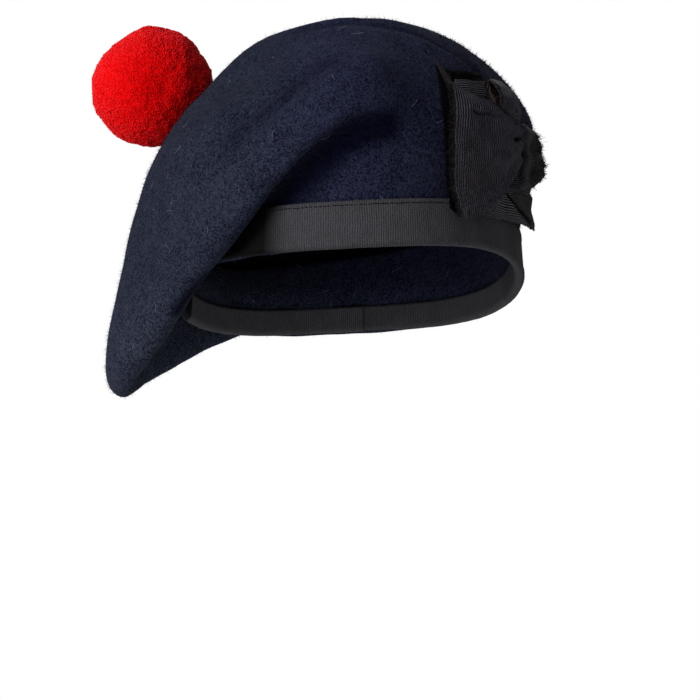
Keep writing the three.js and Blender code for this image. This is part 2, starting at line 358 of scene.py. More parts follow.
def addThickness(made, thickness):
    body = made.modifiers.new("thickness", "SOLIDIFY")
    body.thickness = thickness * mm
    body.offset = 0
    return body


# Felt

felt = {
    "dark": colour(0.0020, 0.0024, 0.0090),
    "light": colour(0.0215, 0.0246, 0.0508),
    "tips": colour(0.070, 0.078, 0.110),
    # colour of the painted shade in the folds
    "crease": colour(0.0005, 0.0004, 0.0050),
    # the turned-down part is greyer and, toward its rim, has painted light that makes it lighter: colour,
    # from and to in x or z
    "grey": (colour(0.0222, 0.0262, 0.0415), 5, -55),
    "paintedRimLight": (colour(0.0315, 0.0370, 0.0555), 18, -30),
    "lint": colour(0.19, 0.21, 0.26),
    "lintPatch": 30,
    # how wide the flecks, the clumps of them and the soft patches are
    "grain": 0.85,
    "clumps": 0.85 * 3.4,
    "mottle": 17,
    "bump": 0.62,
    "sheen": colour(0.62, 0.68, 1.0),
}


def feltMaterial():
    fixed = {"Roughness": 0.95, "Specular IOR Level": 0.02, "Sheen Weight": 0.03, "Sheen Roughness": 0.4}
    material, wire, shader = newMaterial("fulledWool", fixed)
    shader.inputs["Sheen Tint"].default_value = felt["sheen"]
    place = wire.place()
    grain = wire.every(place, felt["grain"], 3.0, 0.65, 0.9)
    mottle = wire.every(place, felt["mottle"], 3.0, 0.6, 0.4)
    clumps = wire.every(place, felt["clumps"], 2.0, 0.55, 1.2)
    flecks = wire.ramp(grain * 0.8 + clumps * 0.2, 0.39, 0.61)
    share = flecks * 0.98 + wire.ramp(mottle, 0.3, 0.7) * 0.2 - 0.06
    light = felt["light"]
    # greyer on the turned-down part, and painted light toward its rim
    for axis, key in ((0, "grey"), (2, "paintedRimLight")):
        tone, start, end = felt[key]
        light = wire.mix(wire.ramp(wire.along(place, axis), start * mm, end * mm), light, tone)
    # painted shade in the folds darkens the wool
    tone = wire.mix(wire.kept("crease"), wire.mix(share, felt["dark"], light), felt["crease"])
    feed(wire, shader, colour=tone, height=(felt["bump"] * mm, grain * 0.7 + clumps * 0.6))
    return material


def napMaterial():
    fixed = {"Roughness": 0.9, "Specular IOR Level": 0.02}
    material, wire, shader = newMaterial("woolNap", fixed)
    feed(wire, shader, colour=wire.mix(wire.kept("shade"), felt["dark"], felt["tips"]))
    return material


def lintMaterial():
    material, wire, shader = newMaterial("paleLint", {"Roughness": 0.9, "Specular IOR Level": 0.1})
    patches = wire.every(wire.place(), felt["lintPatch"])
    feed(wire, shader, colour=wire.mix(patches, felt["tips"], felt["lint"]))
    return material


fulledWool = feltMaterial()
woolNap = napMaterial()

crownShape = {
    "levels": 2,
    "regain": 0.9,  # how much of the size lost to rounding is given back
    "edgeAngle": 80,
    "flatAngle": 0.8,  # radians between two triangles that are joined
    "skewAngle": 1.2,
    "mergeDistance": 0.02,
    # scale and height of soft lumps that wear leaves in the felt
    "lumps": [(62, 1.1), (24, 0.55), (10, 0.22)],
    # the hollow under the turned-down felt, known by its push and its painted shade, is smoothed
    "smoothings": 8,
    "smoothPush": -1,
    "smoothDark": 0.55,
}


def outerFaces(bm):
    # the outer face is what can be reached from the top without going round the raw edge
    bm.faces.ensure_lookup_table()
    start = max(bm.faces, key=lambda face: face.calc_center_median().z)
    limit = math.radians(crownShape["edgeAngle"])
    reached = {start}
    waiting = [start]
    while waiting:
        face = waiting.pop()
        for edge in face.edges:
            if edge.calc_face_angle(0) > limit:
                continue
            for other in edge.link_faces:
                if other not in reached:
                    reached.add(other)
                    waiting.append(other)
    return reached


# Folds in the worn felt that are finer than the crown's own shape: how far they push out, how wide
# they are, how dark the shade painted into them is, and points along each
folds = {
    "rim": (0.9, 3.2, 0, [
        (-22.6, -50.1, 120), (-14.7, -57.2, 121), (-7.8, -61.7, 121.4), (1.4, -67.2, 121.4),
        (10.5, -67.1, 121.2), (24.2, -66.2, 118.8), (33.3, -66.3, 115.8), (42.5, -65.3, 111.8),
        (50.3, -63.6, 107), (56.3, -63.4, 101.5),
    ]),
    "behindRim": (-1.7, 3.4, 0.5, [
        (-22.8, -43.4, 122.9), (-14.8, -49.5, 124), (-7.8, -54.7, 124.5), (1.4, -59.2, 124.9),
        (10.6, -58.9, 125.2), (25.2, -60.3, 122), (35.3, -60, 119.1), (45, -60.1, 114.5),
        (53.3, -57.1, 109.3), (59.4, -56.1, 103.6),
    ]),
    "upperValley": (-2.3, 5, 0.55, [
        (-51.4, -89.8, 70.2), (-43.3, -91.6, 76.3), (-36.1, -92.2, 81.6), (-29.9, -92.4, 86.5),
        (-24.5, -90.9, 91.6), (-19.6, -89.8, 96.1), (-14.3, -88, 100.8), (-7.6, -88, 104.8),
    ]),
    "ridgeBelow": (1.3, 8, 0, [
        (-37.6, -100.4, 68.5), (-28.3, -101.9, 76.8), (-18.5, -101.8, 85.6), (-9.7, -98.5, 94.8),
        (1.4, -95.3, 101.8), (11.2, -89.8, 106),
    ]),
    "ridgeAbove": (1.0, 8, 0, [
        (-49.9, -83.1, 82.4), (-43.6, -81.9, 87.9), (-37, -79.5, 93.6), (-30.3, -76.2, 99.8),
        (-23.1, -75.2, 105.8),
    ]),
    "dip": (-1.2, 10, 0.1, [
        (2, -106, 86), (12, -103, 89), (23.6, -97.3, 91.8), (31.8, -92, 90.6),
    ]),
    "hollow": (-1.8, 8, 1.0, [
        (18, -99.2, 75.8), (12, -101, 74.6), (5, -101.3, 72.2), (-2.4, -99.6, 66.4),
        (-9.5, -98.6, 59.3), (-17.5, -97, 51.3), (-25.5, -94.3, 44), (-33, -91.5, 36.1),
        (-41, -87.5, 26.8),
    ]),
    "hollowDeep": (0, 6, 0.9, [
        (19, -95, 72.5), (12, -96.5, 71.5), (5, -97, 69.5), (-2.4, -96.5, 64.5),
        (-9.5, -95.5, 57.5),
    ]),
    "rolledUnder": (0, 3.2, 1.0, [
        (-51.5, -87, 24.4), (-54, -83.1, 21.7), (-57.5, -79.8, 17.7), (-61, -77.2, 13.7),
        (-64.2, -76.7, 10.1), (-67.5, -74.1, 6.1), (-71, -69.4, 1.7), (-74.4, -65.4, -2.8),
        (-78, -60.5, -7.5),
    ]),
    "foldEdge": (1.1, 6, 0, [
        (22.7, -100.5, 83.5), (12.4, -104.9, 83.6), (1.4, -107.3, 81.2), (-7.4, -107.7, 77.6),
        (-16.2, -107.3, 71.9), (-22.9, -106.4, 65.3), (-29.5, -104.9, 57.9), (-37.6, -102.5, 48.8),
        (-46.1, -98.8, 38.8), (-55.7, -93, 28),
    ]),
}


def foldsAt(places):
    # how far every place is pushed out, in millimetres, and how dark the shade painted there is
    pushed, dark = np.zeros(len(places)), np.zeros(len(places))
    for push, width, shade, line in folds.values():
        points = np.array(line, dtype=float) * mm
        nearest = np.full(len(places), np.inf)
        for start, end in zip(points, points[1:]):
            way = end - start
            along = np.clip((places - start) @ way / (way @ way), 0, 1)
            nearest = np.minimum(nearest, np.linalg.norm(places - start - along[:, None] * way, axis=1))
        near = np.exp(-((nearest / (width * mm)) ** 2))
        pushed += push * near
        dark = np.maximum(dark, shade * near)
    return pushed, dark


def lumpHeight(place):
    total = 0
    for scale, height in crownShape["lumps"]:
        total += height * noise.noise(place / (scale * mm))
    return total * mm


def roundOff(made):
    rounding = made.modifiers.new("rounding", "SUBSURF")
    rounding.levels = crownShape["levels"]
    rounding.render_levels = crownShape["levels"]
    shapes = bpy.context.evaluated_depsgraph_get()
    mesh = bpy.data.meshes.new_from_object(made.evaluated_get(shapes))
    made.modifiers.clear()
    made.data = mesh


def joinedCrown():
    # the crown's own shape in larger faces, the outer ones with material 0 and the others with 1
    bm = bmesh.new()
    bm.from_mesh(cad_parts["crown"].data)
    bmesh.ops.remove_doubles(bm, verts=bm.verts, dist=crownShape["mergeDistance"] * mm)
    outer = outerFaces(bm)
    for face in bm.faces:
        face.material_index = 0 if face in outer else 1
    bmesh.ops.join_triangles(
        bm,
        faces=bm.faces,
        angle_face_threshold=crownShape["flatAngle"],
        angle_shape_threshold=crownShape["skewAngle"],
        cmp_materials=True,
    )
    mesh = meshOf("feltCrown", bm)
    mesh.materials.clear()
    mesh.materials.append(fulledWool)
    mesh.materials.append(fulledWool)
    return mesh


def roundToSize(made):
    mesh = made.data
    cage = [vertex.co.copy() for vertex in mesh.vertices]
    roundOff(made)
    shrunk = [made.data.vertices[k].co.copy() for k in range(len(cage))]
    made.data = mesh
    for vertex, before, after in zip(mesh.vertices, cage, shrunk):
        vertex.co = before + (before - after) * crownShape["regain"]
    roundOff(made)


def smoothHollow(mesh, hollow):
    bm = bmesh.new()
    bm.from_mesh(mesh)
    soft = [vertex for k, vertex in enumerate(bm.verts) if hollow[k]]
    axes = {"use_axis_x": True, "use_axis_y": True, "use_axis_z": True}
    for _ in range(crownShape["smoothings"]):
        bmesh.ops.smooth_vert(bm, verts=soft, factor=0.5, **axes)
    bm.to_mesh(mesh)
    bm.free()


def makeCrown():
    made = piece("feltCrown", joinedCrown(), [], ["crown"])
    roundToSize(made)
    mesh = made.data
    outside = np.zeros(len(mesh.vertices), dtype=bool)
    for face in mesh.polygons:
        if face.material_index == 0:
            outside[list(face.vertices)] = True
    normals = [vertex.normal.copy() for vertex in mesh.vertices]
    pushed, dark = foldsAt(np.array([vertex.co[:] for vertex in mesh.vertices]))
    smoothHollow(mesh, outside & (pushed < crownShape["smoothPush"]) & (dark > crownShape["smoothDark"]))
    for k, vertex in enumerate(mesh.vertices):
        way = normals[k] if outside[k] else -normals[k]
        vertex.co += way * (lumpHeight(vertex.co) + pushed[k] * mm)
    # painted shade of the folds, kept on the outer face
    layer = mesh.attributes.new("crease", "FLOAT", "POINT")
    layer.data.foreach_set("value", np.where(outside, dark, 0).astype(np.float32))
    mesh.update()
    return made


crown = makeCrown()
show("crown")

nap = {
    "pieces": 2,
    "perPiece": 35000,
    "length": (0.6, 1.3),
    "longShare": 0.24,
    "longer": 2.3,  # times
    "half": 0.06,
    "lean": (0.1, 1.0),
    "comb": 0.12,  # how much the wool is brushed down
    "depth": 0.1,  # of every root in the felt
    "footShade": 0.5,
    "seed": 40,
}


def onOuterFace(mesh, count, rng):
    # random places spread evenly by area, with the smooth normal there
    mesh.calc_loop_triangles()
    total = len(mesh.loop_triangles)
    corners = np.empty(total * 3, dtype=np.int32)
    mesh.loop_triangles.foreach_get("vertices", corners)
    corners = corners.reshape(-1, 3)
    owner = np.empty(total, dtype=np.int32)
    mesh.loop_triangles.foreach_get("polygon_index", owner)
    kinds = np.empty(len(mesh.polygons), dtype=np.int32)
    mesh.polygons.foreach_get("material_index", kinds)
    corners = corners[kinds[owner] == 0]
    places = np.empty(len(mesh.vertices) * 3, dtype=np.float32)
    mesh.vertices.foreach_get("co", places)
    places = places.reshape(-1, 3).astype(float)
    normals = np.array([vertex.normal for vertex in mesh.vertices])
    a, b, c = (places[corners[:, k]] for k in range(3))
    area = np.linalg.norm(np.cross(b - a, c - a), axis=1)
    chosen = rng.choice(len(corners), size=count, p=area / area.sum())
    first, second = rng.random(count), rng.random(count)
    over = first + second > 1
    first[over], second[over] = 1 - first[over], 1 - second[over]
    weights = np.stack([1 - first - second, first, second], axis=1)[:, :, None]
    picked = corners[chosen]
    return (places[picked] * weights).sum(axis=1), unit((normals[picked] * weights).sum(axis=1))


def makeNap(mesh):
    for number in range(nap["pieces"]):
        rng = np.random.default_rng(nap["seed"] + number)
        count = nap["perPiece"]
        roots, normals = onOuterFace(mesh, count, rng)
        lean = rng.uniform(*nap["lean"], size=(count, 1))
        along = unit(np.cross(normals, rng.normal(size=(count, 3))))
        down = np.array([0, 0, -1.0]) + normals * normals[:, 2:3]
        way = unit(normals + lean * along + nap["comb"] * down)
        length = rng.uniform(*nap["length"], size=(count, 1)) * mm
        length *= np.where(rng.random((count, 1)) < nap["longShare"], nap["longer"], 1)
        tips = roots + way * length
        half = np.full(count, nap["half"] * mm)
        # random tone, darkened by the painted shade of the folds
        shade = rng.random(count) ** 2 * (1 - foldsAt(roots)[1])
        growHairs(f"woolNap{number + 1}", roots, normals, tips, half, shade, rng)


def growHairs(name, roots, normals, tips, half, shade, rng):
    feet = roots - normals * nap["depth"] * mm
    fibres = spikes(name, feet, tips, half, rng, shade * nap["footShade"], shade)
    piece(name, fibres, [woolNap])


lint = {
    "count": 300,
    "length": (1.8, 6.5),
    "half": 0.08,
    "steps": 6,
    "bend": 0.35,
    "proud": (0.15, 0.5),
    "seed": 11,
}

fuzz = {
    "count": 62000,
    "from": (40, 50),  # the wool is rough beyond this x and above this z
    "length": (0.8, 2.0),
    "half": 0.14,
    "lean": (0.2, 1.4),
    "clump": 4,
    "clumpLength": (0.6, 2.2),  # times the length between clumps, and what a clump adds
    "shade": 0.5,
    "seed": 12,
}


def makeLint(mesh):
    # hairs that lie on the nap and curl off it
    rng = np.random.default_rng(lint["seed"])
    count, steps = lint["count"], lint["steps"]
    roots, normals = onOuterFace(mesh, count, rng)
    along = unit(np.cross(normals, rng.normal(size=(count, 3))))
    across = np.cross(normals, along)
    length = rng.uniform(*lint["length"], size=(count, 1)) * mm
    bend = rng.normal(scale=lint["bend"], size=(count, 1))
    rise = rng.uniform(*lint["proud"], size=(count, 1)) * mm
    paths = []
    for step in range(steps):
        share = step / (steps - 1) - 0.5
        paths.append(
            roots
            + along * length * share
            + across * length * bend * share * share
            + normals * (rise * (1.6 + np.sin(share * 5 + bend * 9)))
        )
    fibres = threads("woolLint", np.stack(paths, axis=1), lint["half"] * mm, rng, shade=1.0)
    piece("woolLint", fibres, [lintMaterial()])


def makeFuzz(mesh):
    rng = np.random.default_rng(fuzz["seed"])
    roots, normals = onOuterFace(mesh, fuzz["count"], rng)
    leftOf, above = fuzz["from"]
    rough = (roots[:, 0] > leftOf * mm) & (roots[:, 2] > above * mm)
    roots, normals = roots[rough], normals[rough]
    count = len(roots)
    along = unit(np.cross(normals, rng.normal(size=(count, 3))))
    way = unit(normals + rng.uniform(*fuzz["lean"], size=(count, 1)) * along)
    clumps = np.array([noise.noise(Vector(root) / (fuzz["clump"] * mm)) for root in roots])
    between, added = fuzz["clumpLength"]
    length = rng.uniform(*fuzz["length"], size=count) * (between + added * np.clip(clumps, 0, 0.6))
    tips = roots + way * length[:, None] * mm
    shade = rng.random(count) ** 2 * fuzz["shade"]
    half = np.full(count, fuzz["half"] * mm)
    growHairs("woolFuzz", roots, normals, tips, half, shade, rng)


makeNap(crown.data)
makeFuzz(crown.data)
makeLint(crown.data)
show("nap")


# Grosgrain

cloth = {
    # colour of painted shade, and of the cockade's worn front edge
    "crease": colour(0.0012, 0.0011, 0.0014),
    "fluffDark": colour(0.0012, 0.0011, 0.0014),
    "fluffLight": colour(0.062, 0.058, 0.061),
    "ribBump": 0.3,
    "wanderSize": 9,
    "wander": 1.3,  # in ribs
    "wornSize": 7,
    "fluffSize": 0.85,
    "roughness": 0.62,
    "plySize": 0.4,
    "plyLight": 1.9,
}


def ribbedMaterial(name, dark, light, ribs, contrast=1.0):
    # ribs runs across the ribbon, counted along its length, which is the first number of the map;
    # two numbers kept in the mesh say where the cloth is darkened, by painted shade and at its worn
    # front edge, and where no ribs show
    material, wire, shader = newMaterial(name, {"Specular IOR Level": 0.04})
    weave = wire.make("ShaderNodeTexCoord", output=2)
    place, plain = wire.place(), wire.kept("plain")
    turns = wire.along(weave, 0) * ribs + wire.every(place, cloth["wanderSize"]) * cloth["wander"]
    wave = (wire.maths("SINE", turns * (2 * math.pi)) * 0.5 + 0.5) ** 0.8
    weft = wire.noise(wire.stretched(weave, (ribs * 0.9, 90, 1)), 1.0)
    worn = wire.every(place, cloth["wornSize"], 3.0, 0.6)
    fuzz = wire.every(place, cloth["fluffSize"], 3.0, 0.65)
    strength = (wire.ramp(worn, 0.34, 0.6) * 0.9 + 0.4) * contrast
    ribbed = (wave - 0.55) * strength + wire.ramp(weft, 0.3, 0.7) * 0.4 + worn * 0.4
    tone = wire.mix(ribbed, dark, light)
    fluff = wire.mix(wire.ramp(fuzz, 0.36, 0.66), cloth["fluffDark"], cloth["fluffLight"])
    # painted shade and the worn front edge darken the cloth
    tone = wire.mix(wire.kept("crease"), wire.mix(plain, tone, fluff), cloth["crease"])
    rough = wire.ramp(worn, 0.3, 0.7) * 0.12 + cloth["roughness"]
    height = (wave + weft * 0.35) * (1 - plain) + fuzz * plain * 2.6
    feed(wire, shader, colour=tone, roughness=rough, height=(cloth["ribBump"] * contrast * mm, height))
    return material


def threadMaterial(name, tone):
    material, wire, shader = newMaterial(name, {"Roughness": 0.7, "Specular IOR Level": 0.04})
    bright = tuple(part * cloth["plyLight"] for part in tone[:3]) + (1,)
    feed(wire, shader, colour=wire.mix(wire.every(wire.place(), cloth["plySize"]), tone, bright))
    return material


opening = {
    "halfWidth": 85,
    "halfLength": 102,
    "atSides": 2.5,  # height of the ribbon's folded edge there
    "fall": 18,  # from the sides down to the back, and as much up to the front
    "slope": 0.052,  # rise for each millimetre toward +x
    "lean": 0.08,  # inward, for each millimetre up
}


def onTurn(turn, reach, height):
    angle = math.radians(turn)
    return Vector((-math.sin(angle) * reach, -math.cos(angle) * reach, height)) * mm


def openingPoint(turn, inset, up):
    # a place measured from the ribbon's folded edge: how far in from its outer face and how far up
    side = math.sin(math.radians(turn)) / opening["halfWidth"]
    front = math.cos(math.radians(turn)) / opening["halfLength"]
    reach = 1 / math.hypot(side, front)
    edge = onTurn(turn, reach, 0) / mm
    fall = math.sin(math.pi / 2 * edge.y / opening["halfLength"])
    height = opening["atSides"] - opening["fall"] * fall + opening["slope"] * edge.x
    return onTurn(turn, reach - inset - opening["lean"] * up, height + up)


headband = {
    "outside": 21,
    "inside": 13,
    "legInset": 4.15,  # from the middle of the outer leg to the middle of the inner one
    "outerInset": 0.3,
    "turnOver": 2.4,  # cloth in the turn over the felt's edge
    "thickness": 0.6,
    "seamTurn": 178,
    "overlap": 7,  # degrees that one end laps over the other
    "lapRise": 0.85,
    # how close, how high
    "waves": (9, 0.22),
    "ripples": (30, 0.12),
    "fullWaveAt": 6,  # above the fold
    "waveUp": 0.6,  # of each wave
    "outerShare": 0.62,  # of the way across, where the cloth begins to face inward
    "roundSteps": 420,
    "acrossSteps": 30,
    "ribSpacing": 0.98,
    "girth": 588,
    "contrast": 0.4,
    # where the turned-down felt or the cockade keeps the light off: turns from and to, how dark
    "shaded": [(-20, 30, 0.5), (15, 25, 0.8), (-52, -62, 0.2)],
    "shadedTo": 110,  # no shade further round than this
    "dark": colour(0.0190, 0.0183, 0.0210),
    "light": colour(0.0830, 0.0800, 0.0905),
    "grooveUp": 3.4,  # the ribbon is pressed in below this height
    "grooveDepth": 0.35,
    "grooveSharpness": 5,
    "stitchDown": 1.9,  # from the ribbon's upper edge
    "stitchEvery": 1.15,  # degrees
    "stitchLength": 2.1,
    "stitchHalf": 0.23,
    "stitchSeed": 7,
    "stitchUneven": (0.12, 0.15),  # degrees along, millimetres up
    "stitchProud": 0.12,
    "stitchDip": 0.75,  # at both of its ends
    "stitchTone": colour(0.0035, 0.0035, 0.004),
    "meanReach": 95,  # from the upright axis to the stitches
}


def headbandSection(share):
    # goes down the outer leg, round the fold and up the inner leg: inset and up, in millimetres
    fold = headband["legInset"] / 2
    bend = math.pi * fold
    length = headband["outside"] + bend + headband["inside"] - 2 * fold
    gone = share * length
    outer = headband["outside"] - fold
    if gone < outer:
        up = headband["outside"] - gone
        low = 1 / (1 + math.exp((up - headband["grooveUp"]) * headband["grooveSharpness"]))
        return headband["outerInset"] - headband["grooveDepth"] * low, up
    if gone < outer + bend:
        angle = (gone - outer) / fold
        inset = headband["outerInset"] + fold - fold * math.cos(angle)
        return inset - headband["grooveDepth"] * (1 - angle / math.pi), fold - fold * math.sin(angle)
    return headband["outerInset"] + headband["legInset"], fold + gone - outer - bend


def headbandWave(turn, across):
    side, front = math.cos(math.radians(turn)), math.sin(math.radians(turn))
    close, high = headband["waves"]
    wave = high * noise.noise(Vector((side, front, 0)) * close)
    close, high = headband["ripples"]
    return wave + high * noise.noise(Vector((side * close, front * close, across * 4)))


def headbandShade(turn):
    aside = (turn + 180) % 360 - 180
    shade = 0
    for start, end, dark in headband["shaded"]:
        far = min(max((aside - start) / (end - start), 0), 1)
        if far < 1 or abs(aside) < headband["shadedTo"]:
            shade += dark * far
    return shade


def makeHeadband():
    ribs = headband["girth"] / headband["ribSpacing"]
    dark, light, contrast = headband["dark"], headband["light"], headband["contrast"]
    weave = ribbedMaterial("headbandGrosgrain", dark, light, ribs, contrast)
    bm = bmesh.new()
    bm.loops.layers.uv.new("weave")
    crease = bm.verts.layers.float.new("crease")
    bmesh.ops.create_grid(
        bm, x_segments=headband["roundSteps"], y_segments=headband["acrossSteps"], size=0.5, calc_uvs=True
    )
    span = 360 + headband["overlap"]
    lapShare = headband["overlap"] / span
    for vertex in bm.verts:
        gone, across = vertex.co.x + 0.5, 0.5 - vertex.co.y
        turn = headband["seamTurn"] + gone * span
        inset, up = headbandSection(across)
        lap = min(max((gone - 1 + lapShare * 1.6) / (lapShare * 0.6), 0), 1) * headband["lapRise"]
        outward = -1 if across < headband["outerShare"] else 1
        wave = headbandWave(turn, across)
        inset += outward * (lap + wave * min(up / headband["fullWaveAt"], 1))
        vertex.co = openingPoint(turn, inset, up + wave * headband["waveUp"])
        # painted shade where the turned-down felt or the cockade keeps the light off
        vertex[crease] = headbandShade(turn)
    bmesh.ops.recalc_face_normals(bm, faces=bm.faces)
    made = piece("headbandRibbon", meshOf("headband", bm), [weave], ["headband_ribbon"])
    addThickness(made, headband["thickness"])
    return made


def makeHeadbandStitches():
    rng = np.random.default_rng(headband["stitchSeed"])
    paths = []
    half = headband["stitchLength"] / 2
    aside, above = headband["stitchUneven"]
    for k in range(int(360 / headband["stitchEvery"])):
        turn = k * headband["stitchEvery"] + rng.uniform(-aside, aside)
        lap = headband["lapRise"] if 0 < turn - headband["seamTurn"] < headband["overlap"] else 0
        degrees = math.degrees(half / headband["meanReach"])
        up = headband["outside"] - headband["stitchDown"] + rng.uniform(-above, above)
        path = []
        for share in (-1, -0.5, 0, 0.5, 1):
            inset = -headband["stitchProud"] - lap + headband["stitchDip"] * share ** 4
            path.append(openingPoint(turn + share * degrees, inset, up + above * share))
        paths.append(path)
    mesh = threads("stitches", np.array(paths), headband["stitchHalf"] * mm, rng, sides=5)
    piece("headbandStitches", mesh, [threadMaterial("blackThread", headband["stitchTone"])])


headbandRibbon = makeHeadband()
makeHeadbandStitches()
show("headband")


# Cockade

degree = 1.57  # millimetres that one degree spans here

cockade = {
    "thickness": 0.45,
    "mergeDistance": 0.002,  # closes the loop's seam
    # the cloth bridges what lies this far below and above it, and sinks no deeper than this
    "bridged": (-5, -2.5, 0, 2.5, 5),
    "sinks": 0.7,
    # each ribbon's length, how far apart its ribs are, how strong they are
    "weaves": {
        "uprightGrosgrain": (78, 1.05, 1.9),
        "loopGrosgrain": (17, 1.02, 0.6),
        "loopInsidePaintedLight": (17, 1.02, 1.0),
        "crossGrosgrain": (92, 1.02, 1.3),
    },
    # steps along and across, then the width and length of the flat cloth
    "sheets": {
        "cockadeBackingAndShadow": ((40, 90), (34, 70)),
        "cockadeUprightRibbon": ((100, 110), (52, 72)),
        "cockadeLoop": ((40, 60), (34, 26)),
        "cockadeCrossRibbon": ((170, 130), (54, 92)),
    },
    "dark": colour(0.0013, 0.0010, 0.0020),
    "light": colour(0.085, 0.079, 0.103),
    # painted light: the upright ribbon's ribs are coloured lighter than the rest
    "uprightPaintedLight": colour(0.136, 0.128, 0.152),
    "degreesPerMillimetre": 180 / (math.pi * 90),  # where the felt is 90 from the upright axis
    "pleatCount": 2.5,
    "crossColumns": ("turn", "bottom", "top", "lift", "pleat"),
    "cross": [
        (-27.4, 34.9, 95.0, 3.6, 0.1),
        (-29.5, 34.2, 94.4, 4.9, 0.25),
        (-33, 34.8, 91.8, 6.1, 0.45),
        (-38, 36.8, 89.6, 6.9, 0.6),
        (-43, 39.0, 87.8, 7.2, 0.8),
        (-48, 43.2, 84.9, 6.8, 0.9),
        (-52.5, 50.6, 80.8, 5.8, 0.8),
        (-57, 57, 79.4, 4.7, 0.6),
        (-60.6, 61.5, 80, 4.2, 0.5),
        (-62.1, 65, 80.4, 2.0, 0.3),
        (-63.4, 58, 80.4, 2.6, 0.4),
        (-64.8, 51, 80.4, 3.6, 0.5),
        (-69, 50, 79.8, 3.4, 0.6),
        (-75, 50.4, 78.6, 3.2, 0.5),
        (-81, 53, 76.5, 3.0, 0.4),
        (-86, 56, 73.5, 3.0, 0.3),
    ],
    # how far back the front edge is cut: at both corners, and more at the lower one
    "frontCut": (2.05, 0.85),  # degrees
    # in the upper half of the front lobe, with a lip over it, and painted shade in it (dark)
    "pocket": {"from": -32.5, "to": -43, "height": 82, "depth": 1.3, "lip": 0.5, "dark": 0.75},
    "knot": {"turn": -59.2, "height": 78.6, "rise": 1.9, "size": 2.6, "folds": 7, "foldRise": 0.5},
    "crackDepths": (2.8, 1.2),  # of the level one and the upright one
    "selvageRoll": 2.1,
    "rearCurl": 3.2,
    # the least lift off the felt
    "crossLeast": 1.6,
    "uprightLeast": 0.75,
    "loopLeast": 0.9,
    "uprightColumns": ("turn", "height", "half", "lift", "pleat"),
    "upright": [
        (-63, 34.3, 39, 1.5, 0.25),
        (-62.5, 46, 31, 2.0, 0.5),
        (-60, 58, 19, 1.9, 0.7),
        (-57, 70, 9, 1.3, 0.4),
        (-52.5, 81, 12, 1.8, 0.7),
        (-44, 90.5, 19.5, 2.6, 0.6),
        (-41, 97.5, 15.4, 4.6, 0.25),
    ],
    # edge that the tail folds back along: heights, and the turn at each
    "tailFold": ([32, 36.5, 40.4, 44.5, 48.6], [-82, -74, -66.9, -59.7, -54.1]),
    # middle of the open loop: turn, height, half its width, half its depth
    "loop": [
        (-42, 91.8, 5.4, 2.3),
        (-46, 92, 7, 3.2),
        (-50, 90.4, 7.5, 3.3),
        (-53.8, 87, 6.6, 3),
        (-57.4, 81, 3.2, 1.9),
    ],
    "loopFoot": (4.3, 1.3),  # at its mouth and at the pinch
    "loopSlant": 0.13,  # how much further back its outer lip is cut
    # painted light inside the loop: its inner face is coloured far lighter and browner than the black ribbon
    "loopInsidePaintedLight": colour(0.26, 0.19, 0.18),
    "loopInsidePaintedLightDark": colour(0.06, 0.042, 0.04),
    # black sheet under the ribbons, seen as a dark margin: partly the black cloth they are sewn to, partly
    # painted shadow along the front edge and above the upright ribbon's end: height, turn of its front edge
    "backing": [
        (36.4, -30.6), (39.1, -29), (50.4, -28), (65, -27), (72.6, -26.5),
        (83, -25.8), (91.2, -26.3), (99.4, -27.2), (105, -28),
    ],
    "backingBack": -47.5,
    "backingTop": 102.4,
    "backingThickness": 0.4,
    "backingLift": 0.55,
    "backingAndShadowDark": colour(0.0006, 0.0005, 0.0012),
    "backingAndShadowLight": colour(0.0042, 0.0036, 0.0052),
}


def smoothAt(values, place):
    # a smooth curve that runs through all the values
    last = len(values) - 1
    base = min(int(place), last)
    a, b, c, d = (values[min(max(base + k, 0), last)] for k in (-1, 0, 1, 2))
    t = place - base
    return b + 0.5 * t * (c - a + t * (2 * a - 5 * b + 4 * c - d + t * (3 * (b - c) + d - a)))


def stationAt(rows, share, columns):
    # rows follow each other by the distance between their middles
    spread = columns[1] == "bottom"
    points = [(row[0] * degree, (row[1] + row[2]) / 2 if spread else row[1]) for row in rows]
    gone = [0]
    for here, there in zip(points, points[1:]):
        gone.append(gone[-1] + math.dist(here, there))
    far = share * gone[-1]
    place = max(k for k in range(len(rows)) if gone[k] <= far + 1e-9)
    if place < len(rows) - 1:
        place += (far - gone[place]) / (gone[place + 1] - gone[place])
    return {name: smoothAt([row[k] for row in rows], place) for k, name in enumerate(columns)}


def step(value, low, high):
    # rises softly from 0 at low to 1 at high
    share = min(max((value - low) / (high - low), 0), 1)
    return share * share * (3 - 2 * share)


def hump(value, middle, width):
    return math.exp(-(((value - middle) / width) ** 2))


def treeOf(*made):
    shapes = bpy.context.evaluated_depsgraph_get()
    bm = bmesh.new()
    for one in made:
        bm.from_object(one, shapes)
    tree = BVHTree.FromBMesh(bm)
    bm.free()
    return tree


wall = treeOf(crown, headbandRibbon)


def wallReach(turn, height):
    # how far the bonnet's outside reaches from its upright axis, in millimetres
    far, missed = 220, 60
    start = onTurn(turn, far, height)
    hit = wall.ray_cast(start, -onTurn(turn, 1, 0))
    return far - hit[3] / mm if hit[0] is not None else missed


def wobble(turn, height, scale, seed):
    return noise.noise(Vector((turn * degree / scale, height / scale, seed)))


def onBonnet(turn, height, lift, *rest):
    # the cloth lies over the ribbon's edge below it in a soft slope
    near = [wallReach(turn, height + away) for away in cockade["bridged"]]
    reach = max(sum(near) / len(near), near[len(near) // 2] - cockade["sinks"])
    return onTurn(turn, reach + lift, height)


def pleatsOf(station, side):
    return station["pleat"] * math.cos(side * math.pi * cockade["pleatCount"])


